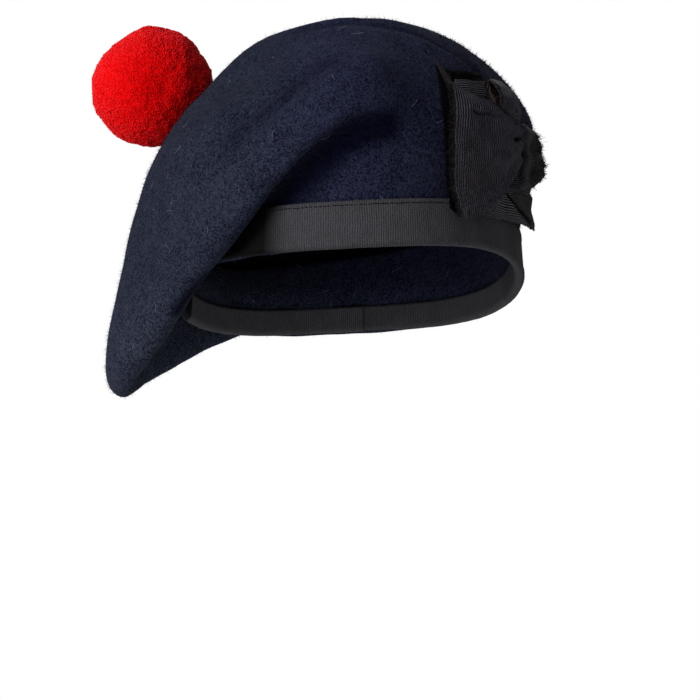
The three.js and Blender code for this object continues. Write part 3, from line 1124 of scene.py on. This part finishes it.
def pocketAt(turn, height):
    # how far it lifts the cloth, and how dark the shade painted in it is
    pocket = cockade["pocket"]
    inside = step(-turn, -pocket["from"], -pocket["from"] + 3) * step(turn, pocket["to"] - 3, pocket["to"])
    line = pocket["height"] + 1.6 * wobble(turn, 0, 7, 13)
    lift = inside * (pocket["lip"] * hump(height, line + 3, 2.4) - pocket["depth"] * hump(height, line, 1.3))
    return lift, pocket["dark"] * inside * hump(height, line, 1.1) * step(turn, -48, -34)


def knotAt(turn, height):
    # the small folds that run into it, and how much of its rise is here
    knot = cockade["knot"]
    away = Vector(((turn - knot["turn"]) * degree, height - knot["height"]))
    angle = math.atan2(away.y, away.x) * knot["folds"]
    folded = knot["foldRise"] * math.sin(angle + 0.5 * wobble(turn, height, 5, 14)) * hump(away.length, 8, 5)
    return folded, hump(away.length, 0, knot["size"])


def cracksAt(turn, height):
    # a nearly level one and an upright one below the knot, and a slanting one above it
    level = hump(height, 72.4 - 0.18 * (turn + 56), 1.25) * step(-turn, 52, 54.5) * step(turn, -62, -60)
    upright = hump(turn, -62.3, 2.0) * step(height, 46, 50) * step(height, 73, 70)
    upper = hump(height, 81.8 + 0.3 * (turn + 58), 0.9) * step(-turn, 55, 57) * step(turn, -64, -62)
    return level, upright, upper


# Each place below gives turn, height and lift off the felt, then how dark the cloth is painted, with shade
# and at a worn edge, and how plain it is there. Share goes along the ribbon from 0 to 1, side
# across it from -1 to 1.

def crossPlace(share, side):
    station = stationAt(cockade["cross"], share, cockade["crossColumns"])
    front = (1 - share) ** 7
    half = (station["top"] - station["bottom"]) / 2
    both, lower = cockade["frontCut"]
    turn = station["turn"] - front * (both * side * side - lower * side)
    height = station["bottom"] + (side + 1) * half
    turn += front * (0.3 * wobble(0, height, 3.1, 4) + 0.45 * wobble(0, height, 9, 5))
    uneven = 0.7 * wobble(turn, side * 9, 11, 2) + 0.9 * step(side, 0.5, 1) * wobble(turn, 0, 4.5, 16)
    height += uneven * abs(side)
    lift = station["lift"] + pleatsOf(station, side)
    lift += 0.7 * wobble(turn, height, 9, 1) + 0.35 * wobble(turn, height, 3.4, 7)
    # behind its front edge the cloth rolls back to the felt along both selvages
    lift -= cockade["selvageRoll"] * (1 - front) * step(abs(side), 0.8, 1.0) * step(half, 9, 18)
    pocket, crease = pocketAt(turn, height)
    lift += pocket
    folded, rise = knotAt(turn, height)
    lift += folded
    lift += cockade["knot"]["rise"] * rise
    level, upright, upper = cracksAt(turn, height)
    levelDepth, uprightDepth = cockade["crackDepths"]
    lift -= levelDepth * level + uprightDepth * upright
    # the front edge is worn dark
    border = (1 - step(share, 0.012, 0.03)) * (0.7 + 0.6 * wobble(0, height, 2.2, 17))
    border += 0.25 * (1 - step(share, 0.08, 0.32))
    # painted shade in the pocket, the cracks and at the knot, and the worn front edge
    crease = max(crease, level, upright, 0.8 * upper, border, 0.4 * rise)
    # the lower front corner is crumpled
    lift += 0.9 * wobble(turn, height, 2.4, 15) * step(height, 43, 37) * step(turn, -42, -36)
    # the cut corner behind curls off the felt
    lift += cockade["rearCurl"] * step(share, 0.82, 1.0) * hump(height, 61, 6)
    smooth = 0.4 * (1 - step(share, 0.1, 0.32)) * (1 - 0.75 * step(height, 72, 80))
    plain = max(1 - step(share, 0.014, 0.032), step(-turn, 64, 69) * 0.85, rise * 0.8, smooth)
    return turn, height, max(lift, cockade["crossLeast"]), min(crease, 1), plain


def uprightPlace(share, side):
    station = stationAt(cockade["upright"], share, cockade["uprightColumns"])
    turn = station["turn"] - side * station["half"] * cockade["degreesPerMillimetre"]
    height = station["height"] - side * station["half"] * 0.05 * (1 - share)
    height += 0.5 * wobble(turn, 0, 6, 3)
    lift = station["lift"] + pleatsOf(station, side) + 0.25 * wobble(turn, height, 7, 6)
    # the tail folds along a slanting edge, and the part behind stands off the band; shade is painted along
    # the fold and on the part behind it
    low = step(height, 49.5, 47)
    behind = (np.interp(height, *cockade["tailFold"]) - turn) * degree
    lift += 3.4 * step(height, 43, 34) * step(-turn, 58, 74)
    lift += low * (1.6 * step(behind, 0.8, 4.5) - 0.3 * hump(behind, 0.4, 0.7))
    crease = low * max(hump(behind, 0.35, 0.6), 0.35 * step(behind, 0, 1))
    # painted shade where the cross ribbon's lobes lie over the upright ribbon, darkest in the gap between
    # them
    shaded = max(0.97 * hump(turn, -62.5, 3.8) * step(height, 51, 56), 0.75 * step(height, 49, 51))
    shaded *= step(-turn, 46, 52)
    lift = max(lift, cockade["uprightLeast"])
    return turn, height, lift, max(crease, shaded), 0.75 * low * step(behind, 1, 3)


def loopAt(share):
    rows = cockade["loop"]
    return [smoothAt([row[k] for row in rows], share * (len(rows) - 1)) for k in range(4)]


def loopPlace(share, side):
    # side goes once round the oval section of the loop
    slant = cockade["loopSlant"] * (1 + math.sin(math.pi * side)) / 2
    share = slant + (1 - slant) * share
    turn, height, width, depth = loopAt(share)
    ahead, behind = loopAt(min(share + 0.02, 1)), loopAt(max(share - 0.02, 0))
    way = Vector(((behind[0] - ahead[0]) * degree, ahead[1] - behind[1])).normalized()
    angle = math.pi * side
    out = width * math.cos(angle)
    mouth, pinch = cockade["loopFoot"]
    lift = mouth + (pinch - mouth) * share + depth * (1 + math.sin(angle))
    lift += 0.9 * wobble(turn, height + out, 4, 8) + 0.35 * math.sin(angle * 5 + share * 4) * share
    turn += way.y * out / degree
    height += way.x * out
    rim = 1 - step(share, slant + 0.02, slant + 0.1)
    # painted shade on the mouth's edge, which also shows no ribs
    return turn, height, max(lift, cockade["loopLeast"]), 0.6 * rim, rim


def backingPlace(share, side):
    rows = cockade["backing"]
    up = (side + 1) / 2
    low = rows[0][0]
    height = low + up * (cockade["backingTop"] - low)
    place = 0
    while place < len(rows) - 2 and rows[place + 1][0] < height:
        place += 1
    part = min((height - rows[place][0]) / (rows[place + 1][0] - rows[place][0]), 1)
    front = smoothAt([row[1] for row in rows], place + part)
    front += 0.25 * wobble(0, height, 1.7, 9) + 0.3 * wobble(0, height, 5, 10)
    turn = front + share * (cockade["backingBack"] - front)
    height += step(up, 0.9, 1) * (0.5 * wobble(turn, 0, 2.5, 12) + 2.2 * hump(turn, -28.3, 1.1) - 0.4)
    return turn, height, cockade["backingLift"]


def ribbonSheet(name, place, materials, nodes=(), thickness=cockade["thickness"]):
    (along, across), cut = cockade["sheets"][name]
    bm = bmesh.new()
    bm.loops.layers.uv.new("weave")
    crease = bm.verts.layers.float.new("crease")
    plain = bm.verts.layers.float.new("plain")
    bmesh.ops.create_grid(bm, x_segments=along, y_segments=across, size=0.5, calc_uvs=True)
    for vertex in bm.verts:
        found = place(vertex.co.x + 0.5, vertex.co.y * 2)
        vertex.co = onBonnet(*found)
        vertex[crease], vertex[plain] = found[3:] or (0, 0)
    bmesh.ops.remove_doubles(bm, verts=bm.verts, dist=cockade["mergeDistance"] * mm)
    bmesh.ops.recalc_face_normals(bm, faces=bm.faces)
    made = piece(name, meshOf(name, bm), materials, nodes)
    body = addThickness(made, thickness)
    # a second material is for the inside
    body.material_offset = len(materials) - 1


def cockadeWeave(name, dark, light):
    length, spacing, contrast = cockade["weaves"][name]
    return ribbedMaterial(name, dark, light, length / spacing, contrast)


def plainBlack():
    # black cloth, partly standing as painted shadow
    material, wire, shader = newMaterial("blackBackingAndShadow", {"Roughness": 0.95, "Specular IOR Level": 0.03})
    grain = wire.every(wire.place(), 0.8, 3.0, 0.6)
    tone = wire.mix(wire.ramp(grain, 0.35, 0.75), cockade["backingAndShadowDark"], cockade["backingAndShadowLight"])
    feed(wire, shader, colour=tone, height=(0.3 * mm, grain))
    return material


def makeCockade():
    dark, light = cockade["dark"], cockade["light"]
    black = plainBlack()
    ribbonSheet("cockadeBackingAndShadow", backingPlace, [black], (), cockade["backingThickness"])
    weave = cockadeWeave("uprightGrosgrain", dark, cockade["uprightPaintedLight"])
    ribbonSheet("cockadeUprightRibbon", uprightPlace, [weave], ["cockade_upright_ribbon"])
    weave = cockadeWeave("loopGrosgrain", dark, light)
    inside = cockadeWeave("loopInsidePaintedLight", cockade["loopInsidePaintedLightDark"], cockade["loopInsidePaintedLight"])
    ribbonSheet("cockadeLoop", loopPlace, [weave, inside], ["cockade_loop"])
    weave = cockadeWeave("crossGrosgrain", dark, light)
    ribbonSheet("cockadeCrossRibbon", crossPlace, [weave], ["cockade_cross_ribbon"])


stitching = {
    # half the thickness, sides, name of the material, tone
    "cockadeFrays": (0.075, 3, "frayedThread", colour(0.0042, 0.0038, 0.0046)),
    "cockadeWisp": (0.07, 3, "wispThread", colour(0.0180, 0.0150, 0.0155)),
    "cockadeTacks": (0.2, 5, "tackThread", colour(0.0006, 0.0006, 0.0007)),
    "cockadeFluff": (0.08, 3, "fluffThread", colour(0.0150, 0.0138, 0.0140)),
    # a black thread laid as painted shadow along the tail's fold
    "cockadeFoldShadow": (0.42, 6, "foldShadowThread", colour(0.0006, 0.0006, 0.0007)),
    "cockadeSelvages": (0.26, 6, "selvageThread", colour(0.02, 0.019, 0.021)),
}

frays = {
    "seed": 21,
    "steps": 5,
    "sunk": 0.6,
    "stray": 0.35,  # off the cloth
    "curl": 0.45,
    # end, how many threads, from and to across, shortest and longest, how far they lean along the edge
    "ends": [
        (crossPlace, 0, 520, -1, 1, 0.5, 2.3, 0.9),
        (crossPlace, 1, 380, -1, 1, 0.5, 2.0, 0.9),
        (uprightPlace, 0, 90, -0.2, 1, 0.3, 1.2, 0.6),
        (uprightPlace, 1, 40, -1, 0.6, 0.2, 0.8, 0.6),
        (backingPlace, 0, 240, -1, 1, 0.3, 1.2, 0.8),
        (loopPlace, 0, 160, -1, 1, 0.3, 1.0, 0.9),
    ],
    # the threads of the front edge run up past its corner in a loose wisp: turn, height, lift
    "wisp": [(-29.4, 92, 3.6), (-29.6, 95, 2.6), (-29.5, 99, 1.6), (-29.0, 103, 1.2), (-28.0, 107.8, 0.9)],
    "wispThreads": 40,
    "wispSteps": 7,
    "wispSpread": 0.7,
    # soft hairs on the worn cloth: which ribbon, how many, from and to along it
    "fluff": [(crossPlace, 300, 0, 0.03), (crossPlace, 1100, 0.76, 1.0), (loopPlace, 260, 0.05, 1.0)],
    "fluffLength": (0.4, 1.7),
    # short stitches in the black sheet, partly painted shadow, over the upright ribbon's end
    "tackTurns": (-31.6, -46.4),
    "tackHeights": (98.9, 102.2),
    "tacks": 19,
}


def frayAt(place, end, side, length, lean, rng):
    # a thread pulled out of a cut end: it starts inside the edge and bends away
    inside = 0.02 if end == 0 else 0.98
    edge, back = (onBonnet(*place(at, side)) for at in (end, inside))
    beside = onBonnet(*place(end, min(max(side + 0.03, -1), 1)))
    out = (edge - back).normalized()
    along = (beside - edge).normalized() if (beside - edge).length > 0 else Vector((0, 0, 1))
    normal = out.cross(along).normalized()
    way = (out + along * rng.normal() * lean + normal * rng.normal() * frays["stray"]).normalized()
    curl = (along * rng.normal() + normal * rng.normal()) * frays["curl"]
    root = edge - out * frays["sunk"] * mm
    path = []
    for k in range(frays["steps"]):
        share = k / (frays["steps"] - 1)
        path.append(root + (way * share + curl * share * share) * length * mm)
    return path


def threadPiece(name, paths, rng):
    half, sides, material, tone = stitching[name]
    mesh = threads(name, np.array(paths), half * mm, rng, sides)
    piece(name, mesh, [threadMaterial(material, tone)])


def makeCutEnds(rng):
    paths = []
    for place, end, count, low, high, short, long, lean in frays["ends"]:
        for side in rng.uniform(low, high, size=count):
            length = short + (long - short) * rng.random() ** 2
            paths.append(frayAt(place, end, side, length, lean, rng))
    threadPiece("cockadeFrays", paths, rng)


def makeWisp(rng):
    paths = []
    last, steps = len(frays["wisp"]) - 1, frays["wispSteps"]
    for _ in range(frays["wispThreads"]):
        aside, proud = rng.normal(scale=frays["wispSpread"]), rng.random()
        first, final = rng.uniform(0, 0.45), rng.uniform(0.6, 1)
        path = []
        for k in range(steps):
            at = (first + (final - first) * k / (steps - 1)) * last
            turn, height, lift = (smoothAt([row[n] for row in frays["wisp"]], at) for n in range(3))
            thin = 1 - 0.55 * at / last
            sway = aside + rng.normal(scale=0.5)
            path.append(onBonnet(turn + sway * thin, height, lift + proud * thin))
        paths.append(path)
    threadPiece("cockadeWisp", paths, rng)


def makeTacks(rng):
    paths = []
    low, high = frays["tackHeights"]
    for turn in np.linspace(*frays["tackTurns"], frays["tacks"]):
        turn += rng.normal(scale=0.12)
        foot, head = low + rng.uniform(0, 0.8), high + rng.uniform(-0.5, 0.7)
        slant = rng.normal(scale=0.15)
        path = []
        for share in (0, 0.3, 0.7, 1):
            lift = cockade["backingLift"] + 0.5 * math.sin(math.pi * share)
            path.append(onBonnet(turn + slant * share, foot + (head - foot) * share, lift))
        paths.append(path)
    threadPiece("cockadeTacks", paths, rng)


def makeFluff(rng):
    paths = []
    for place, count, low, high in frays["fluff"]:
        for _ in range(count):
            turn, height, lift, _, _ = place(rng.uniform(low, high), rng.uniform(-1, 1))
            root = onBonnet(turn, height, lift)
            way = (onTurn(turn, 1, 0) / mm + Vector(rng.normal(size=3)) * 0.8).normalized()
            curl = Vector(rng.normal(size=3)) * 0.5
            length = rng.uniform(*frays["fluffLength"]) * mm
            shares = (0, 0.4, 0.7, 1)
            paths.append([root + (way * share + curl * share * share) * length for share in shares])
    threadPiece("cockadeFluff", paths, rng)


def makeFrays():
    rng = np.random.default_rng(frays["seed"])
    for make in (makeCutEnds, makeWisp, makeTacks, makeFluff):
        make(rng)


selvages = {
    "seed": 22,
    "steps": 160,
    "edges": [(crossPlace, -1), (crossPlace, 1), (uprightPlace, -1), (uprightPlace, 1)],
    "foldTop": 49,
    "foldLift": 0.6,
}


def makeSelvages():
    # a black thread as painted shadow along the line that the tail folds along, and the thicker woven edges
    # of the ribbons
    rng = np.random.default_rng(selvages["seed"])
    steps = selvages["steps"]
    footTurn, footHeight, footHalf = cockade["upright"][0][:3]
    fold = []
    for height in np.linspace(selvages["foldTop"], footHeight + 0.6, steps):
        turn = np.interp(height, *cockade["tailFold"])
        share = (height - footHeight) / cockade["weaves"]["uprightGrosgrain"][0]
        side = (footTurn - turn) / (footHalf * cockade["degreesPerMillimetre"])
        fold.append(onBonnet(turn, height, uprightPlace(share, side)[2] + selvages["foldLift"]))
    threadPiece("cockadeFoldShadow", [fold], rng)
    paths = []
    for place, side in selvages["edges"]:
        paths.append([onBonnet(*place(k / (steps - 1), side)) for k in range(steps)])
    threadPiece("cockadeSelvages", paths, rng)


makeCockade()
makeFrays()
makeSelvages()
show("cockade")


# Pompom

pompom = {
    "tufts": 35000,
    "pieces": 2,
    "core": 0.977,  # of the radius
    "length": 2.0,
    "half": (0.28, 0.44),
    "lean": 0.08,
    "uneven": 0.1,
    "sunk": 0.25,  # how far the tips lie under the ball's full size
    "seed": 93,
    # soft flats and swells: direction, how wide (cosine), how much
    "shape": [
        ((-0.6, -0.4, 0.75), 0.9, -1.2),
        ((0.35, -0.3, 0.9), 0.93, 0.9),
        ((-0.95, -0.2, -0.15), 0.93, 0.7),
        ((0.1, -0.4, -0.9), 0.92, -0.5),
    ],
    # how close the swells of the ball are, and how high
    "waves": {2.1: 1.1, 6.5: 0.55, 15: 0.4},
    "coreGrain": (26, 0.2),
    # tufts on this side are kept only where they don't reach into the felt
    "seat": (0.78, -0.03, -0.62),
    "seatWidth": 0.2,
    "pressedIn": 0.3,
    "flecks": (0.72, 1.0),
    "fleckSize": 1.8,
    # painted shade on the tufts' sides
    "flank": 0.45,
    "deep": colour(0.50, 0.0, 0.0004),
    "bright": colour(0.68, 0.0002, 0.0008),
    "glint": colour(0.84, 0.034, 0.042),
    "glintFrom": 0.74,
    "sheen": colour(1.0, 0.42, 0.42),
}


def woolMaterial(name):
    fixed = {"Roughness": 0.8, "Specular IOR Level": 0.04, "Sheen Weight": 0.08, "Sheen Roughness": 0.3}
    material, wire, shader = newMaterial(name, fixed)
    shader.inputs["Sheen Tint"].default_value = pompom["sheen"]
    shade, flank = wire.kept("shade"), wire.kept("flank")
    fleck = wire.every(wire.place(), pompom["fleckSize"])
    # painted shade at the tufts' feet and sides, and a painted highlight on the upper sides
    share = shade * (wire.ramp(fleck, 0.25, 0.65) * 0.3 + 0.7) * (1 - flank * pompom["flank"])
    red = wire.mix(share, pompom["deep"], pompom["bright"])
    glint = wire.ramp(shade, pompom["glintFrom"], 1.0) * flank
    feed(wire, shader, colour=wire.mix(glint, red, pompom["glint"]))
    return material


def pompomReach(ways):
    # the ball's own uneven roundness, in millimetres added to its radius
    waves = pompom["waves"].items()
    added = np.zeros(len(ways))
    for k, way in enumerate(ways):
        added[k] = sum(much * noise.noise(Vector(way) * close) for close, much in waves)
    for way, wide, much in pompom["shape"]:
        toward = ways @ unit(np.array(way))
        added += much * np.clip((toward - wide + 0.25) / 0.35, 0, 1) ** 2
    return added


def makeCore(centre, radius, wool):
    bm = bmesh.new()
    bmesh.ops.create_icosphere(bm, subdivisions=5, radius=1)
    ways = unit(np.array([vertex.co[:] for vertex in bm.verts]))
    close, high = pompom["coreGrain"]
    for vertex, way, added in zip(bm.verts, ways, pompomReach(ways)):
        grain = high * noise.noise(Vector(way) * close)
        vertex.co = Vector(centre + way * (radius * pompom["core"] + (added + grain) * mm))
    piece("pompomCore", meshOf("pompomCore", bm), [wool], ["pompom"])


def offTheFelt(ways, tips):
    felts = treeOf(crown)
    keep = np.ones(len(ways), dtype=bool)
    for k in np.nonzero(ways @ np.array(pompom["seat"]) > pompom["seatWidth"])[0]:
        tip = Vector(tips[k])
        place, normal, _, _ = felts.find_nearest(tip)
        keep[k] = (tip - place).dot(normal) > -pompom["pressedIn"] * mm
    return keep


def makePile(centre, radius, wool):
    rng = np.random.default_rng(pompom["seed"])
    count = pompom["tufts"]
    ways = unit(rng.normal(size=(count, 3)))
    uneven = rng.normal(scale=pompom["uneven"], size=count)
    reach = radius + (pompomReach(ways) - pompom["sunk"] + uneven) * mm
    across, _ = sideways(ways, rng)
    lean = np.abs(rng.normal(scale=pompom["lean"], size=(count, 1)))
    tips = centre + ways * reach[:, None]
    roots = tips - unit(ways + across * lean) * pompom["length"] * mm
    keep = offTheFelt(ways, tips)
    roots, tips = roots[keep], tips[keep]
    fleck = rng.uniform(*pompom["flecks"], size=len(roots))
    half = rng.uniform(*pompom["half"], size=len(roots)) * mm
    part = len(roots) // pompom["pieces"] + 1
    for number in range(pompom["pieces"]):
        some = slice(number * part, (number + 1) * part)
        pile = tufts("pile", roots[some], tips[some], half[some], rng, fleck[some])
        piece(f"pompomPile{number + 1}", pile, [wool])


def makePompom():
    low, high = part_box("pompom")
    radius = (high[1] - low[1]) / 2
    centre = np.array([low[0] + radius, (low[1] + high[1]) / 2, high[2] - radius])
    wool = woolMaterial("cutWool")
    makeCore(centre, radius, wool)
    makePile(centre, radius, wool)


makePompom()
show("pompom")


# Rounded box corners, and a last update of the scene

def plain(box):
    return [[round(value, 6) for value in corner] for corner in box]


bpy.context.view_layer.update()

show("done")
